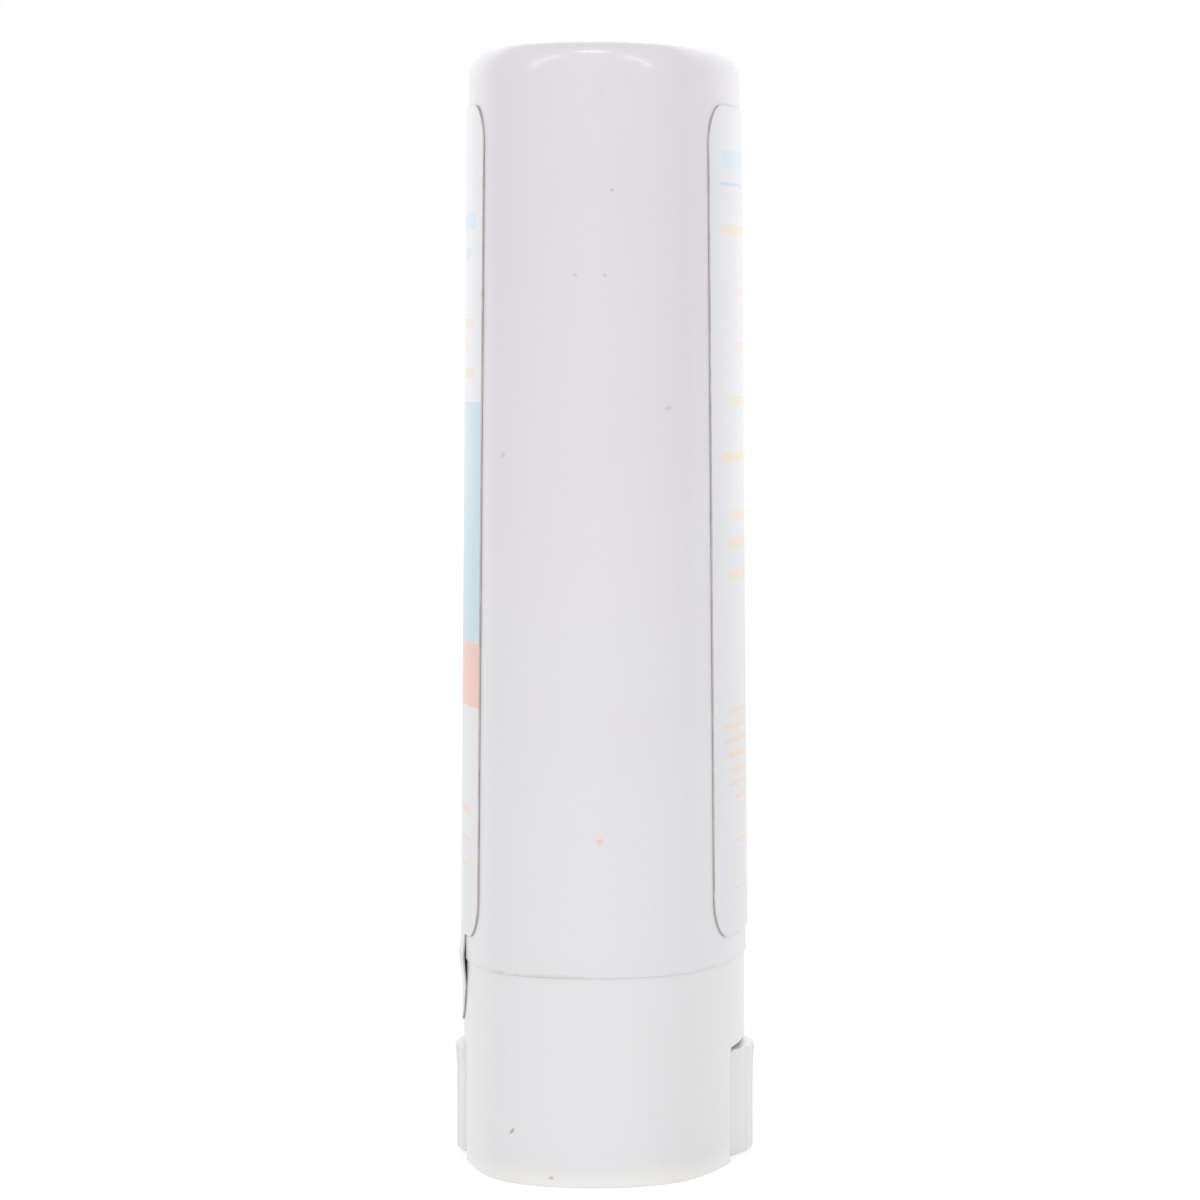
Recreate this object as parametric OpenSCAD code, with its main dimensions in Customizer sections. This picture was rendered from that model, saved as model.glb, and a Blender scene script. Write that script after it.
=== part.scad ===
/* [Base] */
// Width of the base across its broad faces
base_w = 36; // [33:0.1:40]
// Depth of the base through its broad faces
base_d = 18.5; // [17:0.1:19.4]
// Height of the base, up to the ledge that the cap stands on
base_h = 13.35; // [12.6:0.05:18]
// Radius of the narrow ends of the oval section
end_r = 7.2; // [5.6:0.1:8]
// Wall of the base
base_wall = 1.2; // [0.9:0.05:1.5]
// Thickness of the ledge at the top of the base
ledge_t = 1.4; // [1:0.1:2]

/* [Cap] */
// Height of the cap
cap_h = 59.15; // [52:0.05:75]
// How far the cap stands proud of the base all round
cap_step = 0.1; // [0:0.05:0.3]
// Wall of the cap
cap_wall = 1.2; // [0.9:0.05:1.5]
// Thickness of the cap's roof
cap_roof = 1.4; // [1:0.1:2]
// Radius of the edge round the top of the cap
cap_edge_r = 2.5; // [1.6:0.1:3]
// Rise of the slightly crowned top
cap_crown = 0.25; // [0.1:0.05:0.6]
// Draft of the cap's sides, in degrees
cap_draft = 0.46; // [0.2:0.02:0.7]
// Open line between the cap's rim and the ledge
seam_gap = 0.1; // [0.05:0.01:0.2]

/* [Collar] */
// Height of the collar that centres the cap
collar_h = 4.5; // [3.5:0.1:7]
// Gap between the collar and the inside of the cap
collar_gap = 0.2; // [0.15:0.01:0.3]
// Height of the holding bead round the collar
bead_h = 0.8; // [0.5:0.1:1.2]
// How far the bead stands out of the collar
bead_out = 0.12; // [0.05:0.01:0.14]
// Depth of the groove in the cap that the bead sits in
groove_in = 0.3; // [0.15:0.05:0.5]

/* [Tube] */
// Gap between the tube's mouth and the inside of the cap
tube_gap = 0.4; // [0.3:0.05:0.8]
// Wall of the tube
tube_wall = 1; // [0.8:0.05:1.3]
// Thickness of the floor under the tube
floor_t = 1.4; // [1:0.1:2]

/* [Wheel] */
// Diameter of the turn wheel over its ribs
wheel_d = 19.7; // [19.2:0.1:20.4]
// Height of the turn wheel
wheel_h = 7; // [6:0.05:8]
// Height of the wheel's underside above the rim of the base
wheel_lift = 0.15; // [0.1:0.05:0.8]
// Wall of the wheel's cup
wheel_wall = 1.3; // [1:0.1:1.6]
// How far the wheel flares out at its top
wheel_flare = 0.1; // [0.05:0.05:0.2]
// Radius of the wheel's bottom edge
wheel_edge_r = 1; // [0.5:0.1:1.3]
// Number of grooves round the wheel
wheel_grooves = 36; // [24:1:48]
// Depth of a groove
groove_depth = 0.15; // [0.1:0.01:0.25]
// Number of ribs inside the wheel
wheel_ribs = 6; // [4:1:8]
// Gap all round the wheel
wheel_gap = 0.15; // [0.1:0.05:0.3]
// Wall left beside a window, where the wheel's chamber cuts into it
window_skin = 0.95; // [0.3:0.05:1.1]
// Radius of a window's upper corners
window_r = 0.5; // [0.3:0.1:1.5]
// Gap between the wheel and the top of the window
window_gap = 0.35; // [0.2:0.05:1]

/* [Screw] */
// Rise of the elevator for one turn of the wheel
pitch = 5; // [4:0.5:6]
// Diameter of the screw halfway up its thread
screw_d = 5; // [4.4:0.1:5.4]
// Depth of the thread, root to crest
thread_depth = 0.9; // [0.6:0.05:1.1]
// Gap between the screw and its nut
thread_gap = 0.15; // [0.1:0.01:0.25]
// Diameter of the screw where it turns in the floor
journal_d = 6.4; // [6.2:0.1:7]
// Running gap of that journal, all round
journal_gap = 0.05; // [0.02:0.01:0.09]
// How far the snap collar above the floor stands out
snap_out = 0.4; // [0.2:0.05:0.6]
// Height of the snap collar
snap_h = 0.9; // [0.6:0.1:1.4]
// End play of the wheel
end_play = 0.1; // [0.05:0.01:0.2]

/* [Elevator] */
// Height of the wiping skirt below the platform
wiper_h = 4; // [2.6:0.1:5]
// Wall of the wiping skirt
wiper_wall = 1; // [0.8:0.05:1.3]
// Gap between the wiping skirt and the tube
wiper_gap = 0.15; // [0.1:0.01:0.3]
// Thickness of the platform
platform_t = 1.2; // [0.9:0.1:1.8]
// Wall of the nut round the thread
nut_wall = 1.3; // [1:0.1:1.6]
// Height of the nut above the platform
nut_up = 5.5; // [3:0.5:7]
// Length of a holding fin beside the nut
fin_l = 6.5; // [4:0.5:7]
// Thickness of a fin
fin_t = 0.8; // [0.6:0.1:1.2]
// Height of a fin above the platform
fin_h = 4; // [2:0.5:6]

/* [Sunscreen] */
// Height of the domed top above the tube's mouth
dome_h = 4.5; // [3:0.5:6]
// Height of the straight part that stands out below the dome
dome_foot = 0.6; // [0.2:0.1:1]
// Gap between the dome and the cap's roof
head_gap = 1.7; // [1:0.1:4]
// Gap round the sunscreen, and round the screw inside it
fill_gap = 0.1; // [0.05:0.01:0.2]

/* [Labels] */
// Width of each label
label_w = 22.6; // [16:0.2:26]
// Thickness of the label film
label_t = 0.1; // [0.06:0.01:0.15]
// Radius of a label's corners
label_r = 2.6; // [1:0.1:4]
// Distance from the cap's rim up to the labels
label_low = 1.6; // [1:0.1:4]
// Distance from the labels up to the cap's top
label_high = 3.75; // [3.2:0.05:8]
// Width of the seal tab
tab_w = 13.4; // [8:0.1:15]
// Radius of the tab's lower corners
tab_r = 3.8; // [1:0.1:4]
// How far the seal tab reaches down the base
tab_drop = 4.4; // [3:0.1:4.6]
// How far the tab bows out where it crosses the joint
tab_bow = 0.25; // [0.1:0.01:0.3]
// How far below the joint the bowed tab meets the base again
bow_down = 2; // [1:0.1:3]
// How far above the joint the tab starts to bow
bow_up = 1.4; // [0.8:0.1:1.6]
// Gap between the film and the plastic
film_gap = 0.02; // [0.01:0.01:0.05]

/* [Hidden] */
section_steps = 72;
arc_steps = 6;
edge_steps = 8;
fine_fn = 96;
round_fn = 64;
thread_fn = 18;
thread_steps = 12;
cut = 1;
bite = 0.2;
half_w = base_w / 2;
half_d = base_d / 2;
draft = tan(cap_draft);

cap_z = base_h + seam_gap;
top_z = cap_z + cap_h;
roof_z = top_z - cap_roof;
roof_edge_r = cap_edge_r - cap_wall + bite;
mouth_z = roof_z - head_gap - dome_h;
groove_z = cap_z + collar_h / 2;

wheel_r = wheel_d / 2;
wheel_top = wheel_lift + wheel_h;
rim_cut = 0.25;
flare_h = 1.6;
groove_r = 0.6;
chamber_r = wheel_r + wheel_flare + wheel_gap;
window_z = wheel_top + window_gap;
floor_z = window_z + bite;
floor_top = floor_z + floor_t;

tube_in = cap_wall + tube_gap - cap_step + draft * (mouth_z - cap_z);
bore_in = tube_in + tube_wall;
collar_in = cap_wall + collar_gap - cap_step;

thread_off = thread_depth / 2;
thread_r = screw_d / 2;
crest_r = thread_r + thread_off;
root_r = thread_r - thread_off;
journal_r = journal_d / 2;
hub_r = journal_r + nut_wall;
hub_top = floor_z - end_play;
snap_z = floor_top + end_play;
snap_top = snap_z + snap_h;

elevator_z = floor_top + bite;
platform_z = elevator_z + wiper_h;
platform_top = platform_z + platform_t;
nut_z = snap_top + bite;
nut_top = platform_top + nut_up;
nut_r = crest_r + nut_wall;
wiper_in = bore_in + wiper_gap;
top_margin = 1;
travel = mouth_z - top_margin - nut_top;
screw_top = nut_top + travel + top_margin / 2;

fill_in = bore_in + fill_gap;
fill_z = platform_top + fill_gap;
dome_z = mouth_z + dome_foot;
dome_steps = 7;
dome_angle = 84;
dome_round = 0.7;
crown_rings = [0.85, 0.6, 0.3];

label_z = cap_z + label_low;
label_top = top_z - label_high;
tab_z = base_h - tab_drop;

// Radius of the broad faces of an oval, from its half sizes and the radius of its ends
function face_r(a, b, r) = ((a - r) ^ 2 + b ^ 2 - r ^ 2) / (2 * (b - r));

// The point in the first quarter of that oval where its outward normal has the parts nx and ny
function quarter_point(a, b, r, nx, ny) =
    let (big = face_r(a, b, r), turn = atan2(big - b, a - r))
    atan2(ny, nx) < turn ? [a - r + r * nx, r * ny] : [big * nx, b - big + big * ny];

// The base's oval, inset by one distance all round, as a closed outline
function oval_points(inset) = [
    for (i = [0:section_steps - 1])
        let (t = 360 * i / section_steps, nx = cos(t), ny = sin(t),
             p = quarter_point(half_w - inset, half_d - inset, end_r - inset, abs(nx), abs(ny)))
        [nx < 0 ? -p.x : p.x, ny < 0 ? -p.y : p.y]
];

// That outline at a height, drawn in towards the middle by a scale
function ring(inset, z, scale = 1) = [for (p = oval_points(inset)) [p.x * scale, p.y * scale, z]];

// Inset of the cap's outside at a height
function cap_inset(z) = draft * (z - cap_z) - cap_step;

// A rounded rectangle between two corners
function rounded(low, high, r) = [
    for (corner = [[high.x - r, high.y - r, 0], [low.x + r, high.y - r, 90],
                   [low.x + r, low.y + r, 180], [high.x - r, low.y + r, 270]])
        for (i = [0:arc_steps])
            let (t = corner[2] + 90 * i / arc_steps) [corner.x + r * cos(t), corner.y + r * sin(t)]
];

// A closed skin through a list of rings, ended by the first and the last
module loft(rings) {
    n = len(rings[0]);
    last = len(rings) - 1;
    polyhedron(
        points = [for (r = rings) each r],
        faces = concat(
            [[for (i = [0:n - 1]) i]],
            [[for (i = [n - 1:-1:0]) last * n + i]],
            [for (k = [0:last - 1], i = [0:n - 1])
                let (j = (i + 1) % n) [k * n + i, (k + 1) * n + i, (k + 1) * n + j]],
            [for (k = [0:last - 1], i = [0:n - 1])
                let (j = (i + 1) % n) [k * n + i, (k + 1) * n + j, k * n + j]]
        )
    );
}

// A straight prism of the oval, inset, between two heights
module prism(inset, from, to) {
    translate([0, 0, from]) linear_extrude(to - from) polygon(oval_points(inset));
}

// The thread between two heights, with the same phase at each height for screw and nut
module thread(from, to, grow = 0) {
    turns = (to - from) / pitch;
    translate([0, 0, from])
        rotate(-360 * from / pitch)
            linear_extrude(to - from, twist = 360 * turns, slices = ceil(thread_steps * turns))
                translate([thread_off, 0]) circle(thread_r + grow, $fn = thread_fn);
}

// Tall overcap: drafted walls, a rounded and slightly crowned top, a groove inside its mouth
module cap() {
    roof = [for (i = [0:arc_steps])
        let (t = 90 * (1 - i / arc_steps), z = roof_z - roof_edge_r * (1 - sin(t)))
        ring(cap_inset(z) + cap_wall + roof_edge_r * (1 - cos(t)), z)];
    groove = [for (step = [[1, 0], [0.5, groove_in], [-0.5, groove_in], [-1, 0]])
        let (z = groove_z + step[0] * bead_h) ring(cap_inset(z) + cap_wall - step[1], z)];
    rim = [ring(cap_inset(cap_z) + cap_wall, cap_z), ring(cap_inset(cap_z), cap_z)];
    edge_z = top_z - cap_crown - cap_edge_r;
    edge = [for (i = [0:edge_steps])
        let (t = 90 * i / edge_steps, z = edge_z + cap_edge_r * sin(t))
        ring(cap_inset(z) + cap_edge_r * (1 - cos(t)), z)];
    crown = [for (s = crown_rings)
        ring(cap_inset(top_z) + cap_edge_r, top_z - cap_crown * s ^ 2, s)];
    color([0.9, 0.9, 0.92]) loft(concat(roof, groove, rim, edge, crown));
}

// Opening in both broad faces that the wheel stands out of, with rounded upper corners.
// Its sides are where the wheel's chamber would leave too little wall.
module windows() {
    big = face_r(half_w, half_d, end_r);
    centre = half_d - big;
    y = (chamber_r ^ 2 - (big - window_skin) ^ 2 + centre ^ 2) / (2 * centre);
    side = sqrt(chamber_r ^ 2 - y ^ 2);
    rotate([90, 0, 0])
        linear_extrude(base_d + 2 * cut, center = true)
            polygon(rounded([-side, -window_z], [side, window_z], window_r));
}

// Base, ledge, collar and tube, moulded as one: the tube stands inside the skirt and hangs from the ledge
module barrel() {
    color([0.91, 0.91, 0.92]) difference() {
        union() {
            difference() {
                prism(0, 0, base_h);
                prism(base_wall, -cut, base_h - ledge_t);
                translate([0, 0, -cut]) cylinder(h = window_z + cut, r = chamber_r, $fn = fine_fn);
                windows();
            }
            prism(tube_in, floor_z, mouth_z);
            prism(collar_in, base_h - bite, base_h + collar_h);
            prism(collar_in - bead_out, groove_z - bead_h / 2, groove_z + bead_h / 2);
        }
        prism(bore_in, floor_top, mouth_z + cut);
        translate([0, 0, floor_z - cut]) cylinder(h = floor_t + 2 * cut, r = journal_r + journal_gap, $fn = round_fn);
    }
}

// The wheel's cup: closed and rounded below, flared and chamfered at its open top
module wheel_cup() {
    edge = [for (i = [0:arc_steps]) let (t = 90 * i / arc_steps)
        [wheel_r - wheel_edge_r * (1 - sin(t)), wheel_lift + wheel_edge_r * (1 - cos(t))]];
    difference() {
        rotate_extrude($fn = fine_fn) polygon(concat([[0, wheel_lift]], edge, [
            [wheel_r, wheel_top - flare_h],
            [wheel_r + wheel_flare, wheel_top - rim_cut],
            [wheel_r + wheel_flare - rim_cut, wheel_top],
            [wheel_r - wheel_wall, wheel_top],
            [wheel_r - wheel_wall, wheel_lift + wheel_wall],
            [0, wheel_lift + wheel_wall]
        ]));
        for (i = [0:wheel_grooves - 1])
            rotate(360 * (i + 0.5) / wheel_grooves)
                translate([wheel_r + groove_r - groove_depth, 0, wheel_lift - cut])
                    cylinder(h = wheel_h + 2 * cut, r = groove_r, $fn = round_fn);
    }
}

// Turn wheel and screw, moulded as one
module turn_wheel() {
    color([0.89, 0.89, 0.89]) union() {
        wheel_cup();
        for (i = [0:wheel_ribs - 1])
            rotate(360 * i / wheel_ribs)
                translate([hub_r - bite, -wheel_wall / 3, wheel_lift + wheel_wall - bite])
                    cube([wheel_r - wheel_wall - hub_r + 2 * bite, 2 * wheel_wall / 3, wheel_h - 2 * wheel_wall]);
        translate([0, 0, wheel_lift + bite]) cylinder(h = hub_top - wheel_lift - bite, r = hub_r, $fn = round_fn);
        translate([0, 0, hub_top - bite]) cylinder(h = snap_z - hub_top + 2 * bite, r = journal_r, $fn = round_fn);
        translate([0, 0, snap_z])
            cylinder(h = snap_h, r1 = journal_r + snap_out, r2 = journal_r - snap_out, $fn = round_fn);
        thread(snap_top - bite, screw_top);
    }
}

// The fins that hold the sunscreen on the platform
module fins(grow = 0) {
    for (turn = [0, 180])
        rotate(turn)
            translate([0, -fin_t / 2 - grow, platform_top - bite])
                cube([nut_r + fin_l + grow, fin_t + 2 * grow, fin_h + bite + grow]);
}

// Oval platform with its wiping skirt, its nut and its fins
module elevator() {
    color([0.93, 0.93, 0.9]) difference() {
        union() {
            difference() {
                prism(wiper_in, elevator_z, platform_top);
                prism(wiper_in + wiper_wall, elevator_z - cut, platform_z);
            }
            translate([0, 0, nut_z]) cylinder(h = nut_top - nut_z, r = nut_r, $fn = round_fn);
            fins();
        }
        thread(nut_z - cut, nut_top + cut, thread_gap);
    }
}

// The stick of sunscreen: it fills the tube above the platform and ends in a low dome
module sunscreen() {
    dome = [for (i = [0:dome_steps]) let (t = dome_angle * i / dome_steps)
        ring(fill_in, dome_z + (dome_h - dome_foot) * sin(t), cos(t) ^ dome_round)];
    color([0.98, 0.96, 0.9]) difference() {
        loft(concat([ring(fill_in, fill_z)], dome));
        translate([0, 0, fill_z - cut])
            cylinder(h = screw_top + top_margin - fill_z + cut, r = crest_r + thread_gap, $fn = round_fn);
        translate([0, 0, fill_z - cut])
            cylinder(h = nut_top - fill_z + cut + fill_gap, r = nut_r + fill_gap, $fn = round_fn);
        fins(fill_gap);
    }
}

// The surface that the film lies on, from the base over the joint and up the cap
module wrap(grow, past = 0) {
    off = film_gap + grow;
    loft([
        ring(-off, tab_z - bite - past),
        ring(-off, base_h - bow_down),
        ring(-cap_step - tab_bow - grow, cap_z),
        ring(cap_inset(cap_z + bow_up) - off, cap_z + bow_up),
        ring(cap_inset(label_top) - off, label_top + bite + past)
    ]);
}

// A film on the broad face that the outline is drawn on
module film(side) {
    intersection() {
        difference() {
            wrap(label_t);
            wrap(0, bite);
        }
        rotate([90, 0, 0])
            scale([1, 1, side]) linear_extrude(base_d) children();
    }
}

// Front label, with the seal tab that crosses the joint
module front_label() {
    color([0.55, 0.8, 0.88]) film(1) union() {
        polygon(rounded([-label_w / 2, label_z], [label_w / 2, label_top], label_r));
        polygon(rounded([-tab_w / 2, tab_z], [tab_w / 2, label_z + 2 * tab_drop], tab_r));
    }
}

// Back label
module back_label() {
    color([0.97, 0.96, 0.93]) film(-1)
        polygon(rounded([-label_w / 2, label_z], [label_w / 2, label_top], label_r));
}

cap();
barrel();
turn_wheel();
elevator();
sunscreen();
front_label();
back_label();
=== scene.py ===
"""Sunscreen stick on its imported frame: overcap, base and tube, turn wheel, sunscreen and two film labels.

Sizes in the classes are millimetres, and they become metres where a mesh is made.
"""

import logging
import math
from dataclasses import dataclass
from enum import Enum
from typing import Any, Callable, Mapping, Sequence

import bmesh
import bpy
import numpy as np
from mathutils import Matrix, Vector
from mathutils.geometry import delaunay_2d_cdt

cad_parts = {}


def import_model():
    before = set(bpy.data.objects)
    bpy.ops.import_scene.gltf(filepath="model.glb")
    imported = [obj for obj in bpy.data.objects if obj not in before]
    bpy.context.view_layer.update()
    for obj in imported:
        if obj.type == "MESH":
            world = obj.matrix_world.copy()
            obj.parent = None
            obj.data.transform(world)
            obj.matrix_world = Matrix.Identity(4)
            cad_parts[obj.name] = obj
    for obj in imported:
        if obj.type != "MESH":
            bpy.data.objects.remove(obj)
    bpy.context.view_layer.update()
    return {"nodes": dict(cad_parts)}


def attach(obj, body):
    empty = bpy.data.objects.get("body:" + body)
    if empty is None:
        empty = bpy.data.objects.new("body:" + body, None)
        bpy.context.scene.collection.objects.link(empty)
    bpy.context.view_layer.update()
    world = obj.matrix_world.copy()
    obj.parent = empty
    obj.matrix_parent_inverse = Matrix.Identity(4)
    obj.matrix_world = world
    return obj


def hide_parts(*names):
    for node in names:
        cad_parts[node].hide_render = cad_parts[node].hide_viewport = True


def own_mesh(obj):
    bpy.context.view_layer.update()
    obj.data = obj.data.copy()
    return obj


Colour = tuple[float, float, float, float]
Place = tuple[float, float, float]
Outline = list[tuple[float, float]]
Piece = bpy.types.Object

MM = 0.001
LOG = logging.getLogger("sunscreen_stick")


class Face(Enum):
    """The broad face that a film or a window is on, by the sign of its Y."""

    FRONT = -1
    BACK = 1


class Mark(Enum):
    """The plain shapes that a label is printed with."""

    BAND = "band"
    BAR = "bar"
    FRAME = "frame"


def linear(red: float, green: float, blue: float) -> Colour:
    """Turns a colour of 0 to 255 as a screen shows it into shader values.

    Args:
        red, green, blue: The screen's three values.

    Returns:
        Linear red, green and blue, with an alpha of 1.
    """
    parts = [v / 255 for v in (red, green, blue)]
    return (*[v / 12.92 if v <= 0.04045 else ((v + 0.055) / 1.055) ** 2.4 for v in parts], 1.0)


def operator(kind: str, flipped: bool = False) -> Callable[["Expr", Any], "Expr"]:
    """Makes a method that adds one Math node on two values.

    Args:
        kind: The node's operation.
        flipped: True where the method's own value comes second.

    Returns:
        The method.
    """

    def method(self: "Expr", other: Any) -> "Expr":
        """Adds the node."""
        values = (other, self) if flipped else (self, other)
        return self.graph.math(kind, *values)

    return method


class Expr:
    """An output of a node. Arithmetic on it adds Math nodes to its graph."""

    def __init__(self, graph: "Graph", socket: bpy.types.NodeSocket) -> None:
        """Keeps the output and the graph that it stands in."""
        self.graph = graph
        self.socket = socket

    __add__, __radd__ = operator("ADD"), operator("ADD", True)
    __sub__, __rsub__ = operator("SUBTRACT"), operator("SUBTRACT", True)
    __mul__, __rmul__ = operator("MULTIPLY"), operator("MULTIPLY", True)
    __truediv__, __rtruediv__ = operator("DIVIDE"), operator("DIVIDE", True)
    __pow__ = operator("POWER")
    least, most, above = operator("MINIMUM"), operator("MAXIMUM"), operator("GREATER_THAN")

    def __abs__(self) -> "Expr":
        """Size without sign."""
        return self.graph.math("ABSOLUTE", self)

    def root(self) -> "Expr":
        """Square root."""
        return self.graph.math("SQRT", self)

    def rise(self, low: float, high: float) -> "Expr":
        """Goes smoothly from 0 at low to 1 at high."""
        return self.graph.node(
            "ShaderNodeMapRange",
            {"interpolation_type": "SMOOTHSTEP"},
            {"Value": self, "From Min": low, "From Max": high},
        )

    def fall(self, low: float, high: float) -> "Expr":
        """Goes smoothly from 1 at low to 0 at high."""
        return 1 - self.rise(low, high)


class Graph:
    """A node tree being drawn up."""

    def __init__(self, tree: bpy.types.NodeTree) -> None:
        """Takes the tree that the nodes are added to."""
        self.tree = tree

    def feed(self, socket: bpy.types.NodeSocket, value: Any) -> None:
        """Links an output to a socket, or sets the socket's own value.

        Args:
            socket: The input.
            value: An Expr, a number or several numbers.
        """
        if isinstance(value, Expr):
            self.tree.links.new(value.socket, socket)
        else:
            socket.default_value = value

    def node(
        self,
        kind: str,
        settings: Mapping[str, Any] | None = None,
        inputs: Mapping[str | int, Any] | None = None,
        out: str | int = 0,
    ) -> Expr:
        """Adds one node.

        Args:
            kind: The node's type.
            settings: Its own settings, such as a Math node's operation, which are set first.
            inputs: The values or links of its sockets, by name or number.
            out: The output that is returned.

        Returns:
            That output.
        """
        made = self.tree.nodes.new(kind)
        for name, value in (settings or {}).items():
            setattr(made, name, value)
        for key, value in (inputs or {}).items():
            self.feed(made.inputs[key], value)
        return Expr(self, made.outputs[out])

    def math(self, operation: str, *values: Any) -> Expr:
        """Adds a Math node on up to three numbers."""
        return self.node("ShaderNodeMath", {"operation": operation}, dict(enumerate(values)))

    def vector(self, operation: str, *values: Any, out: str | int = 0) -> Expr:
        """Adds a Vector Math node."""
        return self.node("ShaderNodeVectorMath", {"operation": operation}, dict(enumerate(values)), out)

    def parts(self, vector: Expr) -> tuple[Expr, Expr, Expr]:
        """Splits a vector into its three numbers."""
        first = self.node("ShaderNodeSeparateXYZ", None, {0: vector})
        outputs = first.socket.node.outputs
        return first, Expr(self, outputs[1]), Expr(self, outputs[2])

    def join(self, x: Any, y: Any, z: Any) -> Expr:
        """Makes a vector of three numbers."""
        return self.node("ShaderNodeCombineXYZ", None, {0: x, 1: y, 2: z})

    def mix(self, share: Any, first: Any, second: Any) -> Expr:
        """Mixes two colours: the first at 0, the second at 1."""
        return self.node("ShaderNodeMix", {"data_type": "RGBA"}, {0: share, 6: first, 7: second}, out=2)

    def noise(self, place: Expr, scale: float, detail: float = 2.0) -> Expr:
        """Soft noise of about 0.5, with a scale in features per millimetre."""
        return self.node("ShaderNodeTexNoise", None, {"Vector": place, "Scale": scale, "Detail": detail})


class Surface(Graph):
    """The shader tree of one finish, with its Principled shader and the place in millimetres."""

    def __init__(self, name: str) -> None:
        """Makes the material and its shader."""
        self.material = bpy.data.materials.new(name)
        self.material.use_nodes = True
        super().__init__(self.material.node_tree)
        self.shader = next(n for n in self.tree.nodes if n.type == "BSDF_PRINCIPLED")
        spot = self.node("ShaderNodeTexCoord", out="Object")
        self.place = self.vector("SCALE", spot)
        self.place.socket.node.inputs["Scale"].default_value = 1 / MM
        self.x, self.y, self.z = self.parts(self.place)

    def set(self, **values: Any) -> None:
        """Sets or links inputs of the shader, with _ for a space in their names."""
        for name, value in values.items():
            self.feed(self.shader.inputs[name.replace("_", " ")], value)

    def bump(self, height: Expr, depth: float, strength: float = 1.0) -> None:
        """Feeds a Bump node of a depth in millimetres to the shader."""
        self.set(Normal=self.node("ShaderNodeBump", None, {
            "Height": height, "Distance": depth * MM, "Strength": strength}, out="Normal"))

    def rounded_box(self, low: tuple[float, float], high: tuple[float, float], corner: float) -> Expr:
        """Distance from the edge of a rounded box drawn on X and Z, negative inside it.

        Args:
            low, high: Its corners.
            corner: The radius of its corners.

        Returns:
            The distance in millimetres.
        """
        half_x, half_z = (high[0] - low[0]) / 2, (high[1] - low[1]) / 2
        across = abs(self.x - (low[0] + half_x)) - (half_x - corner)
        along = abs(self.z - (low[1] + half_z)) - (half_z - corner)
        outer = (across.most(0) ** 2 + along.most(0) ** 2).root()
        return outer + across.most(along).least(0) - corner


@dataclass(frozen=True)
class Speck:
    """A small spot of dirt on the narrow end that faces the camera."""

    y: float
    z: float
    length: float
    width: float
    turn: float
    colour: Colour
    strength: float = 0.6

    def cover(self, surface: Surface) -> Expr:
        """Share of the surface that the spot covers at each place."""
        cos, sin = math.cos(math.radians(self.turn)), math.sin(math.radians(self.turn))
        across, up = surface.y - self.y, surface.z - self.z
        along = (across * cos + up * sin) / self.length
        aside = (up * cos - across * sin) / self.width
        spot = (along ** 2 + aside ** 2).root() * 2
        return spot.fall(0.45, 1.25) * surface.x.above(0) * self.strength


@dataclass(frozen=True)
class MouldedPlastic:
    """Pale moulded plastic: soft mottling, hairline scuffs, specks, grime in its joint, and where set,
    painted shade towards the top, a painted glow of floor light at the foot and film-edge lines of grime and
    painted shade.
    """

    name: str
    colour: Colour
    second: Colour
    roughness: float = 0.24
    painted_top_shade: float = 0.0
    floor_glow_below: float = 0.0
    joint_z: float | None = None
    specks: tuple[Speck, ...] = ()
    film_edges: tuple["FilmShape", ...] = ()
    film_top: float = 80.0

    def make(self) -> bpy.types.Material:
        """Draws up the material.

        Returns:
            The material.
        """
        s = Surface(self.name)
        cloud = s.noise(s.place, 0.09, 2).rise(0.3, 0.7)
        grain = s.noise(s.place, 1.7, 4)
        # Painted shade: where the height share is set, the colour runs from the first colour low down to the
        # darker second colour at the top, standing in for less light up there; the rest of the share mottles
        # at random.
        share = cloud * (1 - self.painted_top_shade) + s.z.rise(14, 66) * self.painted_top_shade
        colour = s.mix(share, self.colour, self.second)
        colour = s.mix(grain.rise(0.56, 0.8) * 0.1, colour, linear(205, 203, 206))
        # Painted light: the foot is painted lighter and warmer, standing in for light bounced up from the
        # floor.
        if self.floor_glow_below:
            colour = s.mix(s.z.fall(-0.3, self.floor_glow_below) * 0.9, colour, linear(247, 244, 239))
        if self.joint_z is not None:
            colour = self.stain(s, colour)
        # A faint patchy brownish line just outside each film's edge: partly grime, partly painted shade at
        # the foot of the film's step.
        for shape in self.film_edges:
            edge = abs(shape.distance(s) - 0.05).fall(0.02, 0.14)
            side = (s.y * shape.face.value).above(0) * s.z.fall(self.film_top, self.film_top + 0.1)
            grime_and_shade = s.noise(s.place, 0.5, 3).rise(0.3, 0.62) * 0.22
            colour = s.mix(edge * side * grime_and_shade, colour, linear(168, 150, 138))
        for speck in self.specks:
            colour = s.mix(speck.cover(s), colour, speck.colour)
        drawn = s.vector("MULTIPLY", s.place, (2.2, 2.2, 0.16))
        scuff = s.noise(drawn, 1.0, 3).rise(0.6, 0.78)
        s.set(Base_Color=colour, Roughness=self.roughness + grain * 0.02 + scuff * 0.02, IOR=1.49)
        s.bump(s.noise(s.place, 0.12, 1) * 4 + s.noise(s.place, 0.9, 1) * 0.2, 0.008, 0.5)
        return s.material

    def stain(self, s: Surface, colour: Expr) -> Expr:
        """Adds the orange-brown dirt that has gathered in the joint at the narrow end.

        Args:
            s: The surface.
            colour: Its colour so far.

        Returns:
            The colour with the dirt.
        """
        line = abs(s.z - self.joint_z).fall(0.03, 0.2)
        here = s.x.rise(13.2, 15.5) * abs(s.y + 3.6).fall(1.6, 4.4)
        patch = s.noise(s.vector("MULTIPLY", s.place, (0.5, 1.0, 0.5)), 0.9, 3).rise(0.32, 0.62)
        colour = s.mix(line * here * patch * 0.32, colour, linear(214, 182, 164))
        return s.mix(line * s.noise(s.place, 0.3, 2).rise(0.35, 0.7) * 0.08, colour, linear(176, 160, 150))


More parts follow.
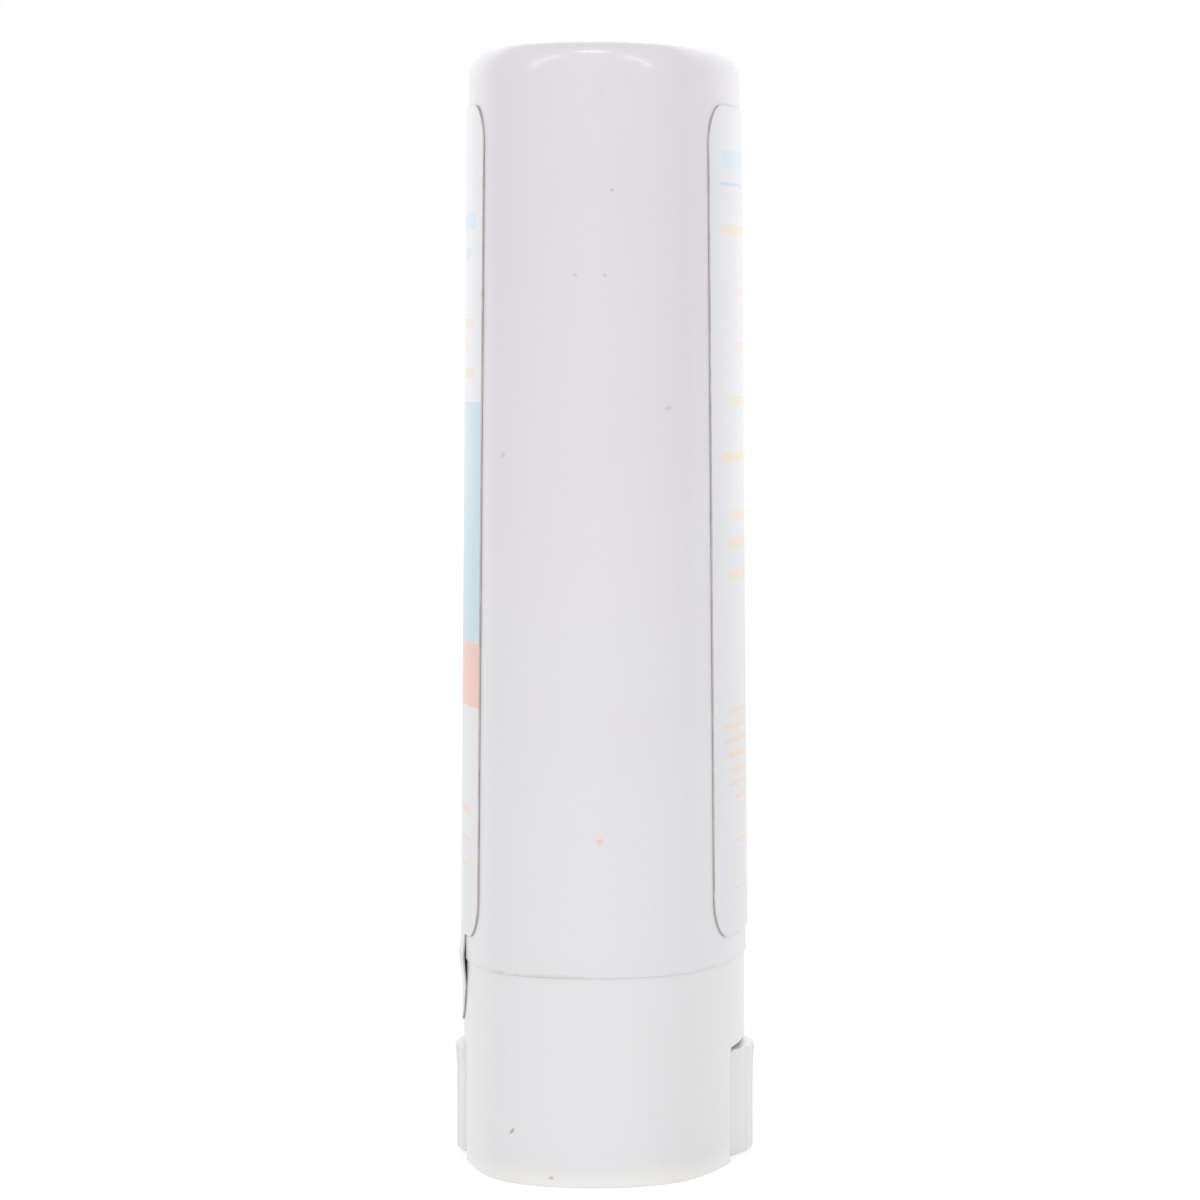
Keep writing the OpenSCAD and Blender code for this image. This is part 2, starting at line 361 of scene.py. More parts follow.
@dataclass(frozen=True)
class PrintField:
    """One plain printed shape on a label."""

    mark: Mark
    low: tuple[float, float]
    high: tuple[float, float]
    colour: Colour
    strength: float = 1.0

    def cover(self, s: Surface) -> Expr:
        """Share of the film that the print covers at each place."""
        wobble = (s.noise(s.place, 3.0, 2) - 0.5) * 0.08
        if self.mark is Mark.BAND:
            middle, half = (self.low[1] + self.high[1]) / 2, (self.high[1] - self.low[1]) / 2
            return (abs(s.z - middle) + wobble).fall(half - 0.04, half + 0.04) * self.strength
        edge = s.rounded_box(self.low, self.high, 0.12) + wobble
        if self.mark is Mark.FRAME:
            return abs(edge + 0.12).fall(0.06, 0.15) * self.strength
        return edge.fall(-0.06, 0.06) * self.strength


@dataclass(frozen=True)
class FilmShape:
    """Outline of a label, with the seal tab that hangs from it over the joint where it has one."""

    face: Face
    shift: float = 0.0
    width: float = 22.6
    low_z: float = 15.05
    high_z: float = 68.85
    corner: float = 2.6
    tab: bool = False
    tab_width: float = 13.4
    tab_low: float = 8.95
    tab_corner: float = 3.8
    nook: float = 0.5

    @staticmethod
    def arc(x: float, z: float, radius: float, start: float, turn: float = 90.0) -> Outline:
        """Points round a corner."""
        angles = [math.radians(start + turn * i / 10) for i in range(11)]
        return [(x + radius * math.cos(t), z + radius * math.sin(t)) for t in angles]

    def outline(self) -> Outline:
        """The edge as points on X and Z, running anticlockwise as seen with X to the right."""
        arc, edge = self.arc, self.width / 2 - self.corner
        points = arc(edge, self.high_z - self.corner, self.corner, 0)
        points += arc(-edge, self.high_z - self.corner, self.corner, 90)
        points += arc(-edge, self.low_z + self.corner, self.corner, 180)
        if self.tab:
            side, low = self.tab_width / 2, self.tab_low + self.tab_corner
            points += arc(-side - self.nook, self.low_z - self.nook, self.nook, 90, -90)
            points += arc(-side + self.tab_corner, low, self.tab_corner, 180)
            points += arc(side - self.tab_corner, low, self.tab_corner, 270)
            points += arc(side + self.nook, self.low_z - self.nook, self.nook, 180, -90)
        points += arc(edge, self.low_z + self.corner, self.corner, 270)
        return [(x + self.shift, z) for x, z in points]

    def distance(self, s: Surface) -> Expr:
        """Distance from the edge at each place, negative on the label."""
        half, side, off = self.width / 2, self.tab_width / 2, self.shift
        sheet = s.rounded_box((off - half, self.low_z), (off + half, self.high_z), self.corner)
        if not self.tab:
            return sheet
        tab = s.rounded_box((off - side, self.tab_low), (off + side, self.low_z + 9), self.tab_corner)
        return sheet.least(tab)


@dataclass(frozen=True)
class PrintedFilm:
    """White film with plain fields of colour, a satin face and faint ripples."""

    name: str
    fields: tuple[PrintField, ...] = ()
    colour: Colour = linear(227, 227, 232)
    roughness: float = 0.24

    def make(self) -> bpy.types.Material:
        """Draws up the material.

        Returns:
            The material.
        """
        s = Surface(self.name)
        cloud = s.noise(s.place, 0.12, 2)
        colour = s.mix(cloud.rise(0.3, 0.7) * 0.5, self.colour, linear(223, 224, 229))
        grain = s.noise(s.place, 6.0, 2)
        for part in self.fields:
            colour = s.mix(part.cover(s) * (0.94 + grain * 0.12).least(1.0), colour, part.colour)
        s.set(Base_Color=colour, Roughness=self.roughness + grain * 0.02, IOR=1.47)
        s.bump(s.noise(s.place, 0.25, 1) * 2, 0.008, 0.5)
        return s.material


@dataclass(frozen=True)
class PlainFinish:
    """A plain surface with a little unevenness, for hidden or very small faces."""

    name: str
    colour: Colour
    second: Colour
    roughness: float = 0.6
    scale: float = 0.8

    def make(self) -> bpy.types.Material:
        """Draws up the material."""
        s = Surface(self.name)
        uneven = s.noise(s.place, self.scale, 3)
        s.set(Base_Color=s.mix(uneven.rise(0.3, 0.7), self.colour, self.second), Roughness=self.roughness)
        s.bump(uneven, 0.02, 0.5)
        return s.material


@dataclass(frozen=True)
class Balm:
    """The solid sunscreen: creamy and waxy, with faint drag marks and light that sinks in."""

    name: str = "sunscreen_balm"

    def make(self) -> bpy.types.Material:
        """Draws up the material."""
        s = Surface(self.name)
        cloud = s.noise(s.place, 0.25, 3)
        drag = s.noise(s.vector("MULTIPLY", s.place, (0.2, 2.4, 1.2)), 1.0, 3)
        s.set(
            Base_Color=s.mix(cloud.rise(0.3, 0.7), linear(247, 241, 224), linear(250, 246, 233)),
            Roughness=0.36 + drag * 0.16,
            Subsurface_Weight=0.25,
            Subsurface_Radius=(1.0, 0.8, 0.5),
            Subsurface_Scale=0.0015,
        )
        s.bump(drag * 0.6 + cloud, 0.03, 0.6)
        return s.material


@dataclass(frozen=True)
class Oval:
    """The stick's section: broad faces of a large radius joined by narrow round ends."""

    half_w: float = 18.0
    half_d: float = 9.25
    end_r: float = 7.2
    steps: int = 288

    def face_r(self, inset: float) -> float:
        """Radius of the broad faces of the inset oval."""
        a, b, r = self.half_w - inset, self.half_d - inset, self.end_r - inset
        return ((a - r) ** 2 + b**2 - r**2) / (2 * (b - r))

    def ring(self, inset: float, z: float, scale: float = 1.0) -> np.ndarray:
        """The inset outline at a height, by its normal's direction.

        Args:
            inset: How far it lies inside the base's outside.
            z: Its height.
            scale: Draws it in towards the middle.

        Returns:
            One row of X, Y and Z for each step.
        """
        a, b, r = self.half_w - inset, self.half_d - inset, self.end_r - inset
        big = self.face_r(inset)
        turn = math.atan2(big - b, a - r)
        angle = np.linspace(0, 2 * math.pi, self.steps, endpoint=False)
        nx, ny = np.cos(angle), np.sin(angle)
        end = np.arctan2(abs(ny), abs(nx)) < turn
        x = np.where(end, a - r + r * abs(nx), big * abs(nx))
        y = np.where(end, r * abs(ny), b - big + big * abs(ny))
        return np.stack([np.sign(nx) * x * scale, np.sign(ny) * y * scale, np.full(self.steps, z)], 1)

    def circle(self, radius: float, z: float) -> np.ndarray:
        """A round ring with as many points as the oval's."""
        angle = np.linspace(0, 2 * math.pi, self.steps, endpoint=False)
        return np.stack([radius * np.cos(angle), radius * np.sin(angle), np.full(self.steps, z)], 1)

    def face_y(self, x: np.ndarray, inset: np.ndarray) -> np.ndarray:
        """How far the broad face lies from the middle at X, for an inset at each place."""
        big = self.face_r(0) - inset
        return self.half_d - self.face_r(0) + np.sqrt(big**2 - x**2)


def quarter(count: int) -> np.ndarray:
    """Angles from 0 to a quarter turn, both included."""
    return np.linspace(0, math.pi / 2, count + 1)


def rounding(count: int, radius: float, back: bool = False) -> Outline:
    """Steps round an edge, as distances from the two faces that meet there.

    Args:
        count: The number of steps.
        radius: The edge's radius.
        back: True to go from the second face to the first.

    Returns:
        The distance from the first face and from the second, for each step.
    """
    turns = quarter(count)[::-1] if back else quarter(count)
    return [(radius * (1 - math.cos(t)), radius * (1 - math.sin(t))) for t in turns]


class Workshop:
    """Makes Blender objects from points in millimetres and finishes their meshes."""

    @staticmethod
    def loft(rings: Sequence[np.ndarray], closed: bool = False) -> tuple[np.ndarray, list[list[int]]]:
        """Skins a list of rings.

        Args:
            rings: Rings of equal length, along a profile.
            closed: True where the profile ends in its start, so that no end needs a face.

        Returns:
            Points and faces.
        """
        count, last = len(rings[0]), len(rings)
        faces: list[list[int]] = []
        for k in range(last if closed else last - 1):
            low, high = k * count, ((k + 1) % last) * count
            for i in range(count):
                j = (i + 1) % count
                faces.append([low + i, low + j, high + j, high + i])
        if not closed:
            faces.append(list(range(count - 1, -1, -1)))
            faces.append([(last - 1) * count + i for i in range(count)])
        return np.concatenate(rings), faces

    @staticmethod
    def build(name: str, points: np.ndarray, faces: Sequence[Sequence[int]]) -> Piece:
        """Makes an object at the origin from points in millimetres."""
        mesh = bpy.data.meshes.new(name)
        mesh.from_pydata((np.asarray(points) * MM).tolist(), [], faces)
        mesh.update()
        made = bpy.data.objects.new(name, mesh)
        bpy.context.scene.collection.objects.link(made)
        return made

    @staticmethod
    def bake(piece: Piece) -> None:
        """Turns the piece with its modifiers into a plain mesh and takes them off."""
        bpy.context.view_layer.update()
        shown = piece.evaluated_get(bpy.context.evaluated_depsgraph_get())
        plain = bpy.data.meshes.new_from_object(shown)
        piece.modifiers.clear()
        old, piece.data = piece.data, plain
        bpy.data.meshes.remove(old)

    @staticmethod
    def mend(piece: Piece) -> None:
        """Merges doubled points and closes the tiny holes that a cut can leave."""
        shell = bmesh.new()
        shell.from_mesh(piece.data)
        bmesh.ops.remove_doubles(shell, verts=shell.verts, dist=0.0002 * MM)
        bmesh.ops.holes_fill(shell, edges=[edge for edge in shell.edges if edge.is_boundary], sides=0)
        shell.to_mesh(piece.data)
        shell.free()

    @classmethod
    def carve(cls, piece: Piece, tools: Sequence[Piece]) -> None:
        """Cuts the tools out of the piece and removes them."""
        for tool in tools:
            cut = piece.modifiers.new("cut", "BOOLEAN")
            cut.operation = "DIFFERENCE"
            cut.solver = "EXACT"
            cut.object = tool
        cls.bake(piece)
        for tool in tools:
            bpy.data.objects.remove(tool)
        cls.mend(piece)

    @staticmethod
    def smooth(piece: Piece, angle: float) -> None:
        """Shades the piece smooth apart from edges sharper than the angle."""
        piece.data.shade_smooth()
        piece.data.set_sharp_from_angle(angle=math.radians(angle))

    @staticmethod
    def dress(piece: Piece, *finishes: bpy.types.Material) -> None:
        """Gives the piece its materials in order."""
        piece.data.materials.clear()
        for finish in finishes:
            piece.data.materials.append(finish)

    @classmethod
    def seat(cls, piece: Piece, body: str, node: str, slot: str, angle: float = 38.0) -> None:
        """Shades the piece and puts it on its body in place of its node."""
        cls.smooth(piece, angle)
        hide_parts(node)
        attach(piece, body)
        LOG.info("%s rides on %s, %d faces", piece.name, body, len(piece.data.polygons))


@dataclass
class Overcap:
    """The tall cap: drafted walls, a rounded and slightly crowned top, a groove inside its mouth."""

    oval: Oval
    low_z: float = 13.45
    high_z: float = 72.58
    lip_z: float = 13.36
    step: float = 0.1
    draft: float = 0.46
    wall: float = 1.2
    roof: float = 1.4
    edge_r: float = 2.2
    edge_power: float = 0.7
    crown: float = 0.03
    lip_r: float = 0.01
    groove_z: float = 2.25
    groove_h: float = 0.8
    groove_in: float = 0.3

    def inset(self, z: float) -> float:
        """How far the outside lies inside the base's oval at a height."""
        return math.tan(math.radians(self.draft)) * (z - self.low_z) - self.step

    def rings(self) -> list[np.ndarray]:
        """The profile from the roof's inside, down, round the lip and up over the top."""
        ring, rings = self.oval.ring, []
        roof_z, fillet = self.high_z - self.roof, self.edge_r - self.wall + 0.2
        for s in (0.3, 0.7):
            rings.append(ring(self.inset(roof_z) + self.wall + fillet, roof_z, s))
        for side, top in rounding(8, fillet, back=True):
            rings.append(ring(self.inset(roof_z - top) + self.wall + side, roof_z - top))
        for share in np.linspace(1, -1, 9):
            z = self.low_z + self.groove_z + share * self.groove_h
            depth = self.groove_in * 0.5 * (1 + math.cos(math.pi * share))
            rings.append(ring(self.inset(z) + self.wall - depth, z))
        rings.append(ring(self.inset(self.low_z) + self.wall, self.lip_z + self.lip_r))
        rings.append(ring(self.inset(self.low_z) + self.wall - self.lip_r, self.lip_z))
        for low, side in rounding(5, self.lip_r):
            rings.append(ring(self.inset(self.lip_z + low) + side, self.lip_z + low))
        for z in np.linspace(self.low_z + 2, self.high_z - self.crown - self.edge_r - 1, 12):
            rings.append(ring(self.inset(z), z))
        edge_z = self.high_z - self.crown - self.edge_r
        for t in quarter(24):
            z = edge_z + self.edge_r * math.sin(t) ** self.edge_power
            inward = self.edge_r * (1 - max(math.cos(t), 0.0) ** self.edge_power)
            rings.append(ring(self.inset(z) + inward, z))
        for s in (0.94, 0.85, 0.72, 0.6, 0.45, 0.3):
            rings.append(ring(self.inset(self.high_z) + self.edge_r, self.high_z - self.crown * s**2, s))
        return rings

    def make(self, finish: MouldedPlastic) -> None:
        """Builds the cap and puts it in place of its node.

        Args:
            finish: The cap's plastic.
        """
        piece = Workshop.build("overcap", *Workshop.loft(self.rings()))
        Workshop.dress(piece, finish.make())
        Workshop.seat(piece, "cap", "cap", "cap_plastic")


@dataclass
class BaseAndTube:
    """The base with its ledge, collar and inner tube, moulded as one, and its two windows."""

    oval: Oval
    height: float = 13.35
    wall: float = 1.2
    ledge: float = 1.4
    collar_in: float = 1.3
    collar_h: float = 4.5
    bead_z: float = 15.7
    bead_h: float = 0.8
    bead_out: float = 0.12
    tube_in: float = 1.914
    tube_wall: float = 1.0
    mouth_z: float = 65.0
    floor_z: float = 7.7
    floor_top: float = 9.1
    hole_r: float = 3.25
    chamber_r: float = 10.1
    window_z: float = 7.5
    window_half: float = 6.57
    window_corner: float = 0.5
    rim_r: float = 0.08
    ledge_r: float = 0.01
    edge_r: float = 0.15

    def rings(self) -> list[np.ndarray]:
        """The closed profile: outside, ledge, collar, tube, bore, floor and the skirt's inside."""
        ring, circle = self.oval.ring, self.oval.circle
        rings = [ring(side, low) for low, side in rounding(6, self.rim_r)]
        rings += [ring(0, z) for z in (3.0, 6.0, 9.0, 11.5)]
        rings += [ring(side, self.height - top) for side, top in rounding(5, self.ledge_r)]
        rings.append(ring(self.collar_in, self.height))
        for share in np.linspace(-1, 1, 9):
            z = self.bead_z + share * self.bead_h / 2
            rings.append(ring(self.collar_in - self.bead_out * 0.5 * (1 + math.cos(math.pi * share)), z))
        top = self.height + self.collar_h
        rings += [ring(self.collar_in, top - 0.3), ring(self.collar_in + 0.1, top - 0.1)]
        rings += [ring(self.collar_in + 0.3, top), ring(self.tube_in, top)]
        rings += [ring(self.tube_in, z) for z in (30.0, 48.0)]
        bore = self.tube_in + self.tube_wall
        rings += [ring(self.tube_in + side, self.mouth_z - top) for side, top in rounding(5, 0.35)]
        rings += [ring(bore - side, self.mouth_z - top) for side, top in rounding(4, 0.25, back=True)]
        rings += [ring(bore, z) for z in (45.0, 25.0, self.floor_top)]
        rings += [circle(self.hole_r, self.floor_top), circle(self.hole_r, self.floor_z)]
        rings += [ring(self.tube_in + 0.3, self.floor_z), ring(self.tube_in, self.floor_z + 0.3)]
        under = self.height - self.ledge
        rings += [ring(self.tube_in, under), ring(self.wall, under), ring(self.wall, 0.2)]
        rings.append(ring(self.wall - 0.2, 0))
        return rings

    def window(self, face: Face) -> Piece:
        """The tool that cuts one window and rounds its edge as it follows the broad face.

        Args:
            face: The face that it cuts.

        Returns:
            The tool.
        """
        half, corner = self.window_half, self.window_corner
        outline = [(half, -2.0, 1.0, 0.0), (half, 3.0, 1.0, 0.0)]
        for sign in (1, -1):
            for t in quarter(8) if sign == 1 else quarter(8)[::-1]:
                nx, nz = sign * math.cos(t), math.sin(t)
                at_x, at_z = sign * (half - corner), self.window_z - corner
                outline.append((at_x + corner * nx, at_z + corner * nz, nx, nz))
        reach = half - corner - 0.8
        outline[11:11] = [(x, self.window_z, 0.0, 1.0) for x in np.linspace(reach, -reach, 13)]
        outline += [(-half, 3.0, -1.0, 0.0), (-half, -2.0, -1.0, 0.0)]
        x, z, nx, nz = np.array(outline).T
        r = self.edge_r
        layers = [(r + 0.02, -1.5), (r + 0.02, -0.01)]
        layers += [(grow, depth) for depth, grow in rounding(6, r)[1:]]
        layers.append((0.0, 3.0))
        rings = []
        for grow, depth in layers:
            px = x + grow * nx
            y = self.oval.face_y(px, np.zeros_like(px)) - depth
            rings.append(np.stack([-face.value * px, face.value * y, z + grow * nz], 1))
        return Workshop.build(f"window_{face.name}", *Workshop.loft(rings[::-1]))

    def make(self, finish: MouldedPlastic) -> None:
        """Builds the base and puts it in place of its node.

        Args:
            finish: The base's plastic.
        """
        piece = Workshop.build("base_and_tube", *Workshop.loft(self.rings(), closed=True))
        ends = [self.oval.circle(self.chamber_r, z) for z in (-1.0, self.window_z)]
        chamber = Workshop.build("chamber", *Workshop.loft(ends))
        Workshop.carve(piece, [chamber, *[self.window(face) for face in Face]])
        Workshop.dress(piece, finish.make())
        Workshop.seat(piece, "barrel", "barrel", "barrel_plastic")


@dataclass
class TurnWheel:
    """The turn wheel with its flutes, inner ribs, journal, snap collar and helical screw."""

    radius: float = 9.85
    height: float = 7.0
    lift: float = 0.15
    wall: float = 1.3
    flare: float = 0.1
    flare_h: float = 1.6
    edge_r: float = 0.25
    flutes: int = 36
    flute_r: float = 0.6
    flute_depth: float = 0.11
    ribs: int = 6
    hub_r: float = 4.5
    hub_top: float = 7.6
    journal_r: float = 3.2
    snap_z: float = 9.2
    snap_h: float = 0.9
    snap_out: float = 0.4
    thread_r: float = 2.5
    thread_off: float = 0.45
    pitch: float = 5.0
    screw_top: float = 64.5
    steps: int = 720

    def rings(self) -> list[np.ndarray]:
        """The lathe profile from the underside round the cup to the top of the snap collar."""
        top, low = self.lift + self.height, self.lift
        profile = [(2.0, low), (6.0, low)]
        profile += [(self.radius - side, low + under) for under, side in rounding(10, self.edge_r)]
        rim = self.radius + self.flare
        profile += [(self.radius, 3.0), (self.radius, top - self.flare_h), (self.radius + 0.04, top - 0.9)]
        profile += [(rim - side, top - down) for side, down in rounding(5, 0.2)]
        inner = self.radius - self.wall
        profile += [(inner + side, top - down) for side, down in rounding(4, 0.2, back=True)]
        floor = low + self.wall
        profile += [(inner, floor + 0.4), (inner - 0.1, floor + 0.1), (inner - 0.4, floor)]
        profile += [(self.hub_r + 0.3, floor), (self.hub_r, floor + 0.3), (self.hub_r, self.hub_top - 0.15)]
        profile += [(self.hub_r - 0.15, self.hub_top), (self.journal_r, self.hub_top)]
        profile += [(self.journal_r, self.snap_z), (self.journal_r + self.snap_out, self.snap_z)]
        profile.append((self.journal_r - self.snap_out, self.snap_z + self.snap_h))
        angle = np.linspace(0, 2 * math.pi, self.steps, endpoint=False)
        cos, sin = np.cos(angle), np.sin(angle)
        return [np.stack([r * cos, r * sin, np.full(self.steps, z)], 1) for r, z in profile]

    def tree(
        self, finish: bpy.types.Material, sizes: Mapping[str, float]
    ) -> tuple[bpy.types.NodeTree, dict[str, str]]:
        """Geometry nodes that press the flutes into the cup and add the ribs and the screw.

        Args:
            finish: The material that all of it gets.
            sizes: The inputs by name. A whole number makes a whole-number input.

        Returns:
            The tree, and each named input's identifier.
        """
        tree = bpy.data.node_groups.new("turn_wheel_parts", "GeometryNodeTree")
        g = Graph(tree)
        tree.interface.new_socket("Geometry", in_out="INPUT", socket_type="NodeSocketGeometry")
        identifiers = {}
        for name, value in sizes.items():
            kind = "NodeSocketInt" if isinstance(value, int) else "NodeSocketFloat"
            identifiers[name] = tree.interface.new_socket(name, in_out="INPUT", socket_type=kind).identifier
        tree.interface.new_socket("Geometry", in_out="OUTPUT", socket_type="NodeSocketGeometry")
        entry = tree.nodes.new("NodeGroupInput")
        size = {name: Expr(g, entry.outputs[name]) for name in sizes}
        cup = self.flute_nodes(g, Expr(g, entry.outputs["Geometry"]), size)
        ribs = self.rib_nodes(g, size)
        screw = self.screw_nodes(g, size)
        joined = tree.nodes.new("GeometryNodeJoinGeometry")
        for part in (cup, ribs, screw):
            tree.links.new(part.socket, joined.inputs[0])
        real = g.node("GeometryNodeRealizeInstances", None, {0: Expr(g, joined.outputs[0])})
        done = g.node("GeometryNodeSetMaterial", None, {"Geometry": real, "Material": finish})
        leave = tree.nodes.new("NodeGroupOutput")
        tree.links.new(done.socket, leave.inputs[0])
        return tree, identifiers

    def flute_nodes(self, g: Graph, cup: Expr, size: Mapping[str, Expr]) -> Expr:
        """Moves the cup's outside in to a row of upright flutes with soft edges."""
        x, y, z = g.parts(g.node("GeometryNodeInputPosition"))
        radius = (x**2 + y**2).root()
        turn = g.math("ARCTAN2", y, x) * size["Flutes"] / (2 * math.pi)
        aside = (g.math("FRACT", turn + 100.0) - 0.5) * (2 * math.pi) / size["Flutes"] * radius
        reach = size["Flute Radius"]
        wall = size["Flute Centre"] - (reach**2 - (aside**2).least(reach**2)).root()
        pressed = g.math("SMOOTH_MIN", radius, wall, 0.12 * MM)
        ratio = pressed / radius
        outside = radius.above((self.radius - self.wall + 0.3) * MM) * z.above(self.lift * MM - 1e-6)
        new = g.join(x * ratio, y * ratio, z)
        moved = {"Geometry": cup, "Selection": outside, "Position": new}
        return g.node("GeometryNodeSetPosition", None, moved)

    def rib_nodes(self, g: Graph, size: Mapping[str, Expr]) -> Expr:
        """Stands the inner ribs round the hub as instances of one bar."""
        bar = g.node("GeometryNodeMeshCube", None, {
            "Size": g.join(size["Rib Length"], size["Rib Thickness"], size["Rib Height"])})
        out, up = size["Rib Start"] + size["Rib Length"] / 2, size["Rib Base"] + size["Rib Height"] / 2
        shift = g.join(out, 0.0, up)
        placed = g.node("GeometryNodeTransform", None, {"Geometry": bar, "Translation": shift})
        spots = g.node("GeometryNodeMeshLine", {"mode": "OFFSET"}, {
            "Count": size["Ribs"], "Start Location": (0.0, 0.0, 0.0), "Offset": (0.0, 0.0, 0.0)})
        turn = g.node("GeometryNodeInputIndex") * (2 * math.pi) / size["Ribs"]
        return g.node("GeometryNodeInstanceOnPoints", None, {
            "Points": spots, "Instance": placed, "Rotation": g.join(0.0, 0.0, turn)})

    def screw_nodes(self, g: Graph, size: Mapping[str, Expr]) -> Expr:
        """Turns a round bar into the screw by moving each level off centre, once round for each pitch."""
        bar = g.node("GeometryNodeMeshCylinder", None, {
            "Vertices": 64,
            "Side Segments": 330,
            "Radius": size["Screw Radius"],
            "Depth": size["Screw Length"],
        })
        middle = g.join(0.0, 0.0, size["Screw Start"] + size["Screw Length"] / 2)
        stood = g.node("GeometryNodeTransform", None, {"Geometry": bar, "Translation": middle})
        _, _, z = g.parts(g.node("GeometryNodeInputPosition"))
        turn = z * (-2 * math.pi) / size["Pitch"]
        off = size["Screw Offset"]
        away = g.join(g.math("COSINE", turn) * off, g.math("SINE", turn) * off, 0.0)
        return g.node("GeometryNodeSetPosition", None, {"Geometry": stood, "Offset": away})

    def make(self, finish: MouldedPlastic) -> None:
        """Builds the wheel and puts it in place of its node.

        Args:
            finish: The wheel's plastic.
        """
        piece = Workshop.build("turn_wheel_and_screw", *Workshop.loft(self.rings()))
        material = finish.make()
        start = self.snap_z + self.snap_h - 0.2
        sizes = {
            "Flutes": self.flutes,
            "Flute Radius": self.flute_r * MM,
            "Flute Centre": (self.radius + self.flute_r - self.flute_depth) * MM,
            "Ribs": self.ribs,
            "Rib Length": (self.radius - self.wall - self.hub_r + 0.4) * MM,
            "Rib Thickness": self.wall * 2 / 3 * MM,
            "Rib Height": (self.height - 2 * self.wall) * MM,
            "Rib Start": (self.hub_r - 0.2) * MM,
            "Rib Base": (self.lift + self.wall - 0.2) * MM,
            "Screw Radius": self.thread_r * MM,
            "Screw Offset": self.thread_off * MM,
            "Pitch": self.pitch * MM,
            "Screw Start": start * MM,
            "Screw Length": (self.screw_top - start) * MM,
        }
        parts = piece.modifiers.new("parts", "NODES")
        parts.node_group, identifiers = self.tree(material, sizes)
        for name, value in sizes.items():
            parts[identifiers[name]] = value
        Workshop.bake(piece)
        Workshop.dress(piece, material)
        Workshop.seat(piece, "wheel", "turn_wheel", "wheel_plastic", angle=32.0)


@dataclass
class SunscreenStick:
    """The stick of sunscreen in the tube: a low dome above, room for the nut and screw below."""

    oval: Oval
    inset: float = 3.014
    low_z: float = 14.6
    shoulder_z: float = 65.6
    dome_h: float = 3.9
    dome_round: float = 0.7
    nut_r: float = 4.35
    nut_z: float = 20.1
    screw_r: float = 3.1
    screw_z: float = 65.5
    top_z: float = 69.48
    travel: float = 44.0

    def rings(self) -> list[np.ndarray]:
        """The profile from the top of the screw's bore, down, out and up over the dome."""
        ring, circle = self.oval.ring, self.oval.circle
        rings = [circle(self.screw_r, self.screw_z), circle(self.screw_r, self.nut_z)]
        rings += [circle(self.nut_r, self.nut_z), circle(self.nut_r, self.low_z)]
        rings += [ring(self.inset, z) for z in (self.low_z, 30.0, 48.0, self.shoulder_z)]
        for t in np.radians(np.linspace(3, 84, 28)):
            z = self.shoulder_z + self.dome_h * math.sin(t)
            rings.append(ring(self.inset, z, math.cos(t) ** self.dome_round))
        return rings

    def make(self, finish: Balm) -> None:
        """Builds the stick and puts it on the lift in place of its node.

        Args:
            finish: The sunscreen's look.
        """
        piece = Workshop.build("sunscreen_stick", *Workshop.loft(self.rings()))
        Workshop.dress(piece, finish.make())
        Workshop.seat(piece, "lift", "sunscreen", "sunscreen_balm")
        anchor, keep = (0, 0, self.low_z * MM), 1 - self.travel / (self.top_z - self.low_z)
        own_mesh(piece)
        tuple(anchor)


